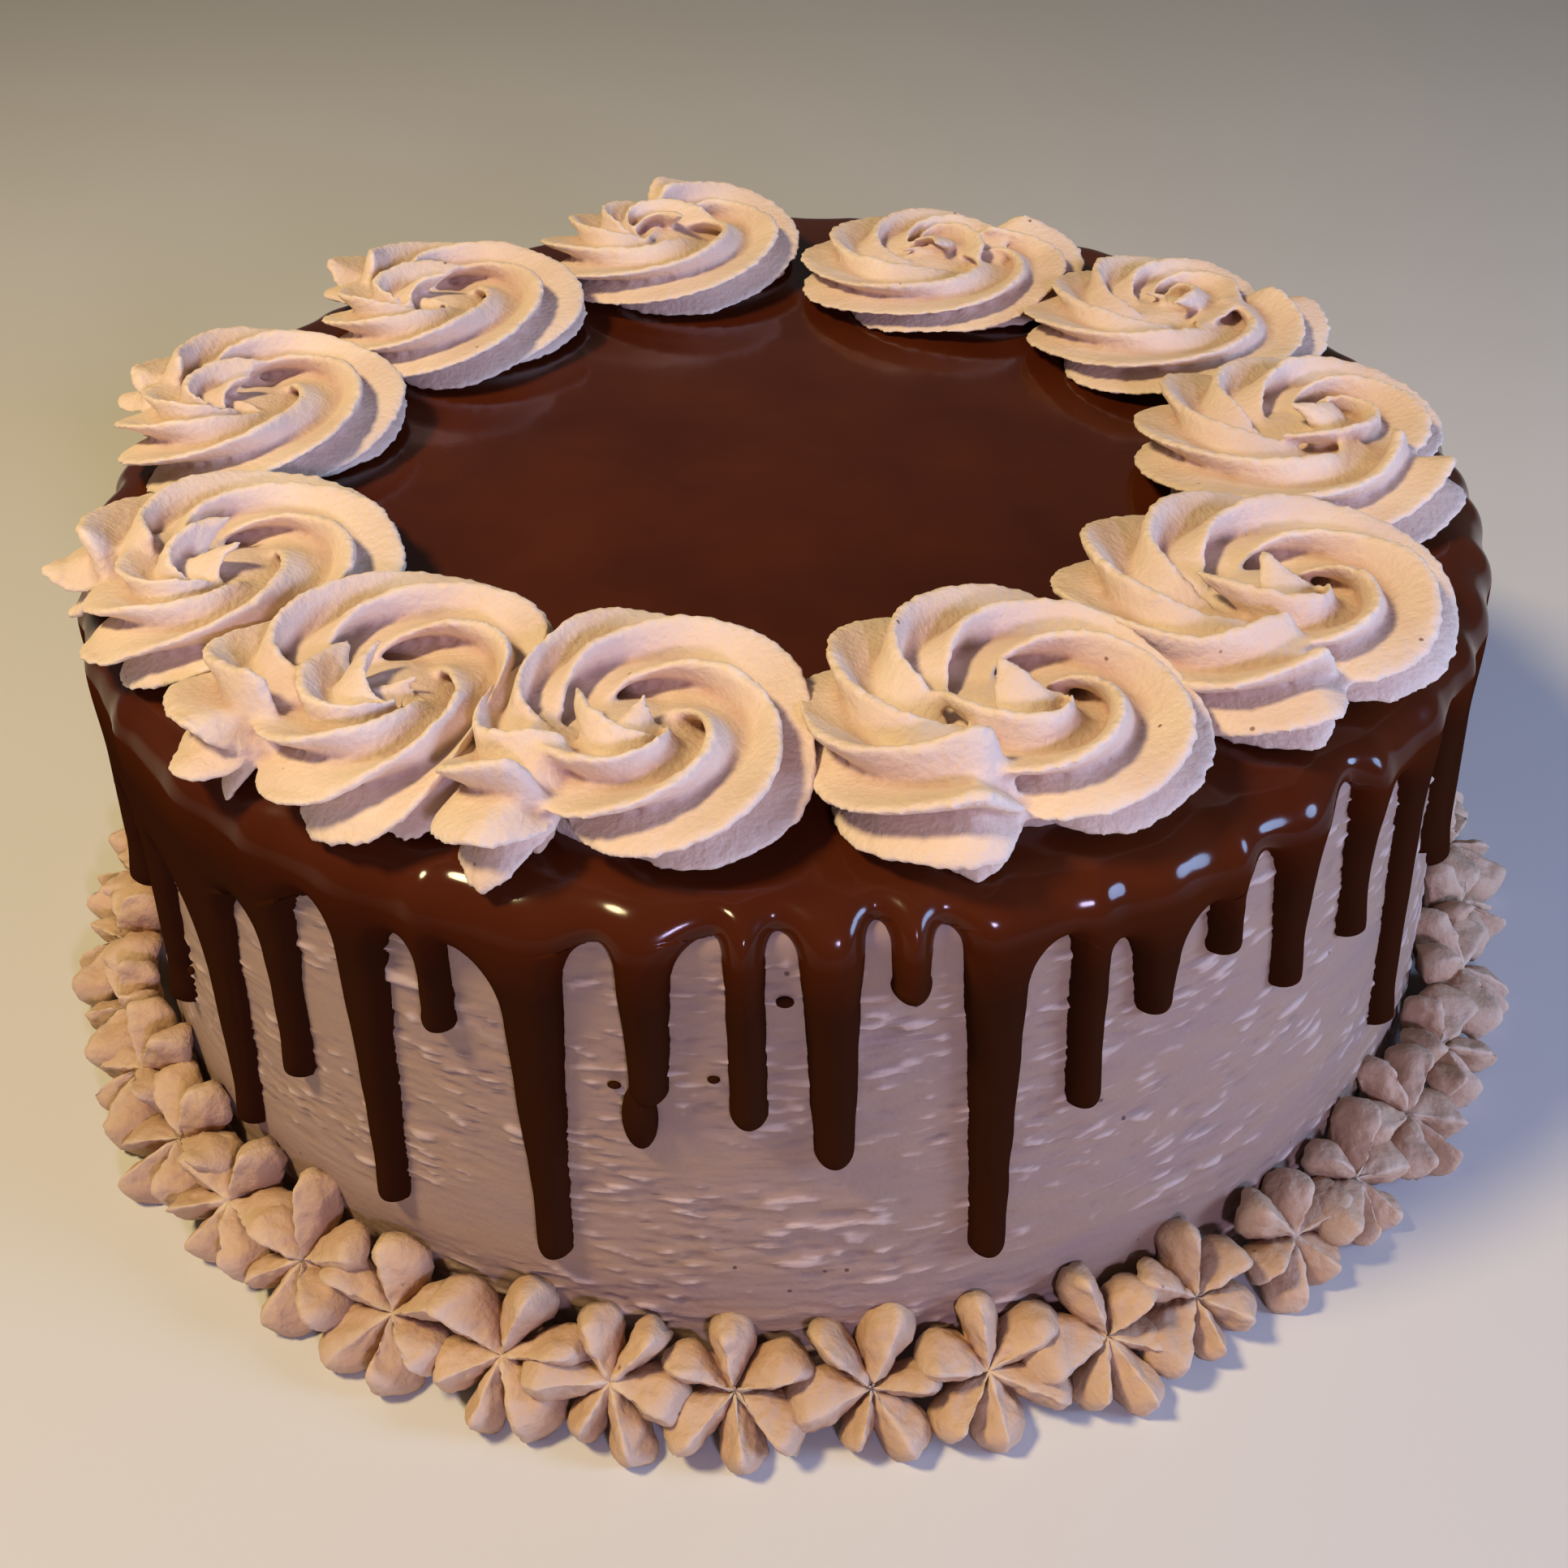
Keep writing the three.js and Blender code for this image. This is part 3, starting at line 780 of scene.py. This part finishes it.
def piped_rosette(index, material):
    """Rosette of one strand, fused where its turns touch, pressed against its neighbours and resting on the
    ganache, over whose rim it sags."""
    strand = rosette_strand(index)
    foot = 1 - ease(strand[:, :, 2] / FOOT_HEIGHT)
    spread = 1 + FOOT_SPREAD * foot
    strand[:, :, 0] *= spread
    strand[:, :, 1] *= spread
    strand[:, :, 2] = np.maximum(strand[:, :, 2], -FOOT_SINK)
    bm = bmesh.new()
    tube(bm, strand)
    height, start = ROSETTES[index][3:5]
    heart = bmesh.ops.create_icosphere(bm, subdivisions=4, radius=HEART_RADIUS)["verts"]
    bmesh.ops.scale(bm, verts=heart, vec=(1, 1, HEART_SHARE * height / HEART_RADIUS))
    inside_curl = math.radians(start + HEART_SIDE)
    shift = Vector((math.cos(inside_curl), math.sin(inside_curl), 0)) * HEART_SHIFT
    bmesh.ops.translate(bm, verts=heart, vec=shift)
    for vertex in heart:
        vertex.co.z = max(vertex.co.z, -FOOT_SINK)
    mesh = fuse(to_mesh(bm, "strand"), CREAM_VOXEL)
    write_points(mesh, smoothed(mesh, SOFT_ROUNDS))
    points = read_points(mesh)
    normals = read_points(mesh, "normal")
    raised = ((points - smoothed(mesh, RAISED_ROUNDS)) * normals).sum(axis=1)
    mark_raised(mesh, raised)
    uneven = layered(points, SKIN_LUMPS, index) + np.clip(raised, 0, 1) * layered(points, RAGGED_LIPS)
    points += normals * uneven[:, None]
    centre = rosette_place(index)
    points += centre
    for neighbour in (index - 1, (index + 1) % len(ROSETTES)):
        other = rosette_place(neighbour)
        radii = ROSETTES[index][2], ROSETTES[neighbour][2]
        crowding = max(sum(radii) - np.linalg.norm(other - centre), 0)
        softness = PRESS_SOFTNESS + CROWDED_SOFTNESS * crowding
        points = press(points, centre, other, radii[0] / sum(radii), softness)
    rim_reach = EDGE_ROUND + SHEET_THICKNESS
    past = np.clip(np.hypot(points[:, 0], points[:, 1]) - EDGE_CENTRE, 0, SAG_REACH * rim_reach)
    sag = rim_reach - np.sqrt(rim_reach ** 2 - past ** 2)
    sag *= 1 - LIP_HOLD * ease(points[:, 2] / LIP_HEIGHT)
    points[:, 2] += EDGE_HEIGHT + rim_reach - sag
    write_points(mesh, points)
    return finish_piece(mesh, f"piped_rosette_{index + 1}", material, "piped_cream", f"rosette_{index + 1}")


# Border flowers

def petal_sector(draw, start, end, size):
    """One petal of a flower from gap to gap, as rows from the flower's middle over its face to its back: ways
    out, angles, heights and a raised value from which the material paints highlight on the crest and the
    middle and shade in the gaps. Gravity draws the sharp crest to the lower side."""
    level = math.cos((start + end) / 2)
    length = PETAL_LENGTH * size * (1 + LENGTH_SPREAD * either_way(draw)) * (1 + LEVEL_LONGER * abs(level))
    crest = PETAL_CREST * size * (1 + CREST_SPREAD * either_way(draw))
    gap = PETAL_GAP * size
    tilt = TILT_SPREAD * either_way(draw)
    crest_share = 0.5 - PETAL_SAG * level + CREST_SHIFT * either_way(draw)
    part = np.arange(SIDE_COLUMNS) / SIDE_COLUMNS
    turned = np.concatenate([crest_share * part, crest_share + (1 - crest_share) * part])
    angle = start + (end - start) * turned
    near = np.concatenate([part, 1 - part])
    share = np.linspace(0, 1, FLOWER_FACE_ROWS)[:, None]
    reach = (gap + (length - gap) * (1 - (1 - near) ** PETAL_FULLNESS)) * share
    low = FLOWER_MIDDLE - GAP_FALL * share
    climb = (crest - FLOWER_MIDDLE) * np.clip(share / CREST_REACHED, 0, 1) ** CREST_CLIMB
    high = (FLOWER_MIDDLE + climb) * (1 - share ** TIP_DROP) + tilt * share ** 2
    rise = low + (high - low) * near ** CREST_FALL
    # painted highlight on the crest and the middle and painted shade in the gaps, kept as raised values
    on_crest = CREST_HIGHLIGHT * near ** CREASE_NARROW
    in_gap = GAP_SHADE * (1 - near) ** CREASE_NARROW * ease(share / GAP_FROM)
    in_middle = MIDDLE_HIGHLIGHT * (1 - ease(share / MIDDLE_TO))
    raised = on_crest - in_gap + in_middle
    under = np.linspace(0, 1, FLOWER_BACK_ROWS + 1)[1:, None]
    reach = np.concatenate([reach, reach[-1] * (1 - under ** BACK_ROUND)])
    rise = np.concatenate([rise, rise[-1] - (FLOWER_DEPTH + rise[-1]) * ease(under)])
    raised = np.concatenate([raised, raised[-1] + 0 * under])
    return np.stack([reach, angle + 0 * reach, rise, raised], axis=2)


def piped_flower(index, azimuth, spin, size, material):
    """Star drop squeezed into the corner of wall and foot, where its petals run into the next flowers'."""
    outward = np.array([math.cos(azimuth), math.sin(azimuth), 0])
    upright = np.array([0, 0, 1])
    sideways = np.cross(upright, outward)
    forward = outward * math.cos(FLOWER_TILT) + upright * math.sin(FLOWER_TILT)
    upward = upright * math.cos(FLOWER_TILT) - outward * math.sin(FLOWER_TILT)
    draw = seeded(100 * (index + 1))
    centre = outward * FLOWER_RING_RADIUS + upright * FLOWER_CENTRE_HEIGHT
    centre += forward * FLOWER_STAND_OUT * either_way(draw)
    pitch = 2 * math.pi / FLOWER_PETALS
    gaps = [spin + pitch * (i + GAP_SHIFT * either_way(draw)) for i in range(FLOWER_PETALS)]
    ends = gaps[1:] + [gaps[0] + 2 * math.pi]
    sectors = [petal_sector(draw, start, end, size) for start, end in zip(gaps, ends)]
    face = np.concatenate(sectors + [sectors[0][:, :1]], axis=1)
    reach, angle, rise = (face[:, :, k, None] for k in range(3))
    places = centre + reach * np.cos(angle) * sideways + reach * np.sin(angle) * upward + rise * forward
    bm = bmesh.new()
    # the raised layer carries the petals' painted highlight and shade for the material
    raised = bm.verts.layers.float.new("raised")
    vertices = lattice(bm, places)
    for vertex, value in zip(vertices, face[:, :, 3].ravel()):
        vertex[raised] = value
    bmesh.ops.remove_doubles(bm, verts=vertices, dist=1e-4)
    mesh = to_mesh(bm, "petals")
    points = read_points(mesh)
    rough = layered(points, [(*FLOWER_LUMPS, index)] + FLOWER_GRAIN)
    points += read_points(mesh, "normal") * rough[:, None]
    points[:, 2] = np.maximum(points[:, 2], 0)
    write_points(mesh, points)
    return finish_piece(mesh, f"piped_flower_{index + 1}", material, "border_cream", f"flower_{index + 1}")


def flower_border(material):
    draw = seeded(FLOWER_SEED)
    pitch = 360 / FLOWER_COUNT
    azimuths = []
    for i in range(FLOWER_COUNT):
        azimuths.append(math.radians(FLOWER_FIRST_AZIMUTH + i * pitch + FLOWER_JITTER * either_way(draw)))
    for i, azimuth in enumerate(azimuths):
        spin = next(draw) * 2 * math.pi / FLOWER_PETALS
        size = 1 + FLOWER_SIZE_SPREAD * either_way(draw)
        piped_flower(i, azimuth, spin, size, material)


# Materials

def linear(colour):
    """Linear red, green, blue and full alpha of an sRGB hex colour."""
    parts = [int(colour[i:i + 2], 16) / 255 for i in (1, 3, 5)]
    return tuple(p / 12.92 if p <= 0.04045 else ((p + 0.055) / 1.055) ** 2.4 for p in parts) + (1,)


def add(tree, kind, inputs=None, **settings):
    """Add a shader node: settings are its own properties, inputs are values or other nodes' outputs."""
    made = tree.nodes.new("ShaderNode" + kind)
    for name, value in settings.items():
        setattr(made, name, value)
    for socket, value in (inputs or {}).items():
        if isinstance(value, bpy.types.NodeSocket):
            tree.links.new(value, made.inputs[socket])
        else:
            made.inputs[socket].default_value = value
    return made


def blank(name):
    """New material with an empty node tree."""
    material = bpy.data.materials.new(name)
    material.use_nodes = True
    material.node_tree.nodes.clear()
    return material, material.node_tree


def blend(tree, share, first, second):
    """Colour that goes from the first to the second as the share goes from 0 to 1."""
    return add(tree, "Mix", {0: share, 6: first, 7: second}, data_type="RGBA").outputs[2]


def moved(tree, value, low, high, to_low=0, to_high=1):
    """Value moved from one range to another and held at its ends."""
    return add(tree, "MapRange", {0: value, 1: low, 2: high, 3: to_low, 4: to_high}).outputs[0]


def cloudy(tree, place, size, detail):
    """Noise around 0.5 with lumps of a size in millimetres."""
    return add(tree, "TexNoise", {"Vector": place, "Scale": 1 / (size * MM), "Detail": detail}).outputs["Fac"]


def specks(tree, place, spacing, inside, outside, rarity):
    """1 in a few small round specks and 0 outside, from a radius to a larger one."""
    dots = add(tree, "TexVoronoi", {"Vector": place, "Scale": 1 / (spacing * MM)}, feature="F1")
    near = moved(tree, dots.outputs["Distance"], inside, outside, 1, 0)
    some = add(tree, "Math", {0: dots.outputs["Color"], 1: rarity}, operation="GREATER_THAN")
    return add(tree, "Math", {0: near, 1: some.outputs[0]}, operation="MULTIPLY").outputs[0]


def bumpy(tree, height, strength, distance):
    """Normal of a surface whose bumps are a distance in millimetres high."""
    settings = {"Height": height, "Strength": strength, "Distance": distance * MM}
    return add(tree, "Bump", settings).outputs[0]


def surface(tree, colour, roughness, more):
    """Surface of a material from its colour, its roughness and other inputs."""
    shader = add(tree, "BsdfPrincipled", {"Base Color": colour, "Roughness": roughness, **more})
    add(tree, "OutputMaterial", {"Surface": shader.outputs[0]})


def buttercream(name, light, dark, lip_highlight, fold_shade):
    """Whipped butter and sugar with cocoa: matt and a little see-through, with a painted highlight on raised
    lips and painted shade in folds, a slow drift of tone, fine grain and a few dark specks."""
    material, tree = blank(name)
    place = add(tree, "TexCoord").outputs["Object"]
    raised = add(tree, "Attribute", attribute_name="raised").outputs["Fac"]
    drift = cloudy(tree, place, 14, 3)
    grain = cloudy(tree, place, 0.9, 4)
    mixed = blend(tree, moved(tree, drift, 0.32, 0.68), linear(dark), linear(light))
    # painted highlight: raised lips take the paler lip colour
    lips_highlighted = blend(tree, moved(tree, raised, 0, 1, 0, 0.5), mixed, linear(lip_highlight))
    # painted shade: folds take the darker fold colour
    folds_shaded = blend(tree, moved(tree, raised, -0.1, -0.75, 0, 0.9), lips_highlighted, linear(fold_shade))
    colour = blend(tree, specks(tree, place, 4.5, 0.05, 0.09, 0.72), folds_shaded, linear("#8a6a58"))
    surface(tree, colour, moved(tree, grain, 0, 1, 0.5, 0.72), {
        "Normal": bumpy(tree, grain, 0.85, 0.3), "IOR": FOOD_IOR, "Subsurface Weight": 0.15,
        "Subsurface Radius": (1.0, 0.6, 0.4), "Subsurface Scale": 1.5 * MM})
    return material


def spread_buttercream():
    """Cocoa buttercream smoothed with a spatula: raised streaks get a painted highlight and torn hollows
    painted shade, and the tone drifts in level bands."""
    material, tree = blank("spread_cocoa_buttercream")
    place = add(tree, "TexCoord").outputs["Object"]
    level = add(tree, "Mapping", {"Vector": place, "Scale": (1, 1, 4)}).outputs[0]
    raised = add(tree, "Attribute", attribute_name="raised").outputs["Fac"]
    drift = cloudy(tree, level, 26, 3)
    grain = cloudy(tree, place, 0.8, 4)
    base = blend(tree, moved(tree, drift, 0.3, 0.7), linear("#957b71"), linear("#9f826d"))
    # painted highlight: raised streaks take a paler colour
    lit = blend(tree, moved(tree, raised, 0.1, 0.36, 0, 0.65), base, linear("#cdb5a9"))
    # painted shade: torn hollows take a darker colour
    shaded = blend(tree, moved(tree, raised, -0.08, -0.25, 0, 0.4), lit, linear("#816964"))
    colour = blend(tree, specks(tree, place, 5, 0.05, 0.08, 0.7), shaded, linear("#5d4139"))
    surface(tree, colour, moved(tree, grain, 0, 1, 0.45, 0.68), {
        "Normal": bumpy(tree, grain, 0.5, 0.2), "IOR": FOOD_IOR, "Subsurface Weight": 0.05,
        "Subsurface Radius": (1.0, 0.55, 0.35), "Subsurface Scale": 1.0 * MM})
    return material


def chocolate_ganache():
    """Chocolate melted in cream and poured warm: dark and opaque. The pool on top and the rim stay wet and
    mirror the rosettes, and the drips are duller. The pool and rim are painted lighter than the drips as a
    painted reflection."""
    material, tree = blank("poured_chocolate_ganache")
    place = add(tree, "TexCoord").outputs["Object"]
    height = add(tree, "SeparateXYZ", {0: place}).outputs["Z"]
    drift = cloudy(tree, place, 22, 2)
    haze = cloudy(tree, place, 9, 3)
    pool = blend(tree, moved(tree, drift, 0.3, 0.7), linear("#401708"), linear("#4c1f0b"))
    # painted reflection: the level pool and rim are lighter than the drips below
    colour = blend(tree, moved(tree, height, 68 * MM, 80 * MM), linear("#30170b"), pool)
    wet = moved(tree, height, 76 * MM, 82 * MM, 0, 0.33)
    surface(tree, colour, moved(tree, haze, 0.35, 0.7, 0.1, 0.18), {
        "Normal": bumpy(tree, haze, 0.12, 0.4), "IOR": FOOD_IOR, "Specular IOR Level": wet})
    return material


def floor_paper():
    """Pale matt studio paper with a faint drift of tone."""
    material, tree = blank("studio_paper")
    place = add(tree, "TexCoord").outputs["Object"]
    colour = blend(tree, cloudy(tree, place, 180, 2), linear("#c6c4c0"), linear("#cfcdca"))
    surface(tree, colour, 0.8, {})
    return material


# Studio

def studio_floor():
    bm = bmesh.new()
    bmesh.ops.create_grid(bm, x_segments=1, y_segments=1, size=FLOOR_HALF)
    mesh = bpy.data.meshes.new("studio_floor")
    bm.to_mesh(mesh)
    bm.free()
    mesh.transform(Matrix.Translation((0, 0, -FLOOR_BELOW * MM)))
    mesh.materials.append(floor_paper())
    floor = bpy.data.objects.new("studio_floor", mesh)
    bpy.context.scene.collection.objects.link(floor)


def softbox(name, place, size, power, colour):
    """Round area light that looks at the middle of the cake."""
    data = bpy.data.lights.new(name, "AREA")
    data.shape = "DISK"
    data.size = size
    data.energy = power
    data.color = linear(colour)[:3]
    light = bpy.data.objects.new(name, data)
    light.location = place
    aim = Vector(LIGHT_AIM) - Vector(place)
    light.rotation_euler = aim.to_track_quat("-Z", "Y").to_euler()
    bpy.context.scene.collection.objects.link(light)


def studio_light():
    for name, (place, size, power, colour) in LIGHTS.items():
        softbox(name, place, size, power, colour)
    world = bpy.data.worlds.new("studio_world")
    world.use_nodes = True
    background = world.node_tree.nodes["Background"]
    background.inputs["Color"].default_value = linear(WORLD_COLOUR)
    background.inputs["Strength"].default_value = WORLD_STRENGTH
    bpy.context.scene.world = world


def studio_camera():
    yaw, pitch, roll = CAMERA_YAW, CAMERA_PITCH, CAMERA_ROLL
    ahead = Vector((math.sin(yaw) * math.cos(pitch), math.cos(yaw) * math.cos(pitch), -math.sin(pitch)))
    level = Vector((math.cos(yaw), -math.sin(yaw), 0))
    level_up = level.cross(ahead)
    right = math.cos(roll) * level + math.sin(roll) * level_up
    above = -math.sin(roll) * level + math.cos(roll) * level_up
    data = bpy.data.cameras.new("studio_camera")
    data.sensor_width = SENSOR_WIDTH
    data.lens = SENSOR_WIDTH * FOCAL_PIXELS / IMAGE_WIDTH
    data.clip_start = 0.01
    camera = bpy.data.objects.new("studio_camera", data)
    turn = Matrix((right, above, -ahead)).transposed().to_4x4()
    camera.matrix_world = Matrix.Translation(Vector(CAMERA_PLACE) * MM) @ turn
    bpy.context.scene.collection.objects.link(camera)
    bpy.context.scene.camera = camera


# The cake and its studio

frosted_body(spread_buttercream())
poured_ganache(chocolate_ganache())
# the last two colours are a painted highlight on lips and a painted shade in folds
rosette_cream = buttercream("piped_mocha_buttercream", "#e1cab6", "#d5baa8", "#e6d7c4", "#a07261")
for number in range(len(ROSETTES)):
    piped_rosette(number, rosette_cream)
# the last two colours are a painted highlight on crests and a painted shade in gaps
flower_border(buttercream("piped_border_buttercream", "#c4a386", "#b39175", "#d8c6b0", "#a2775c"))
studio_floor()
studio_light()
studio_camera()
bpy.context.scene.view_settings.view_transform = "Standard"
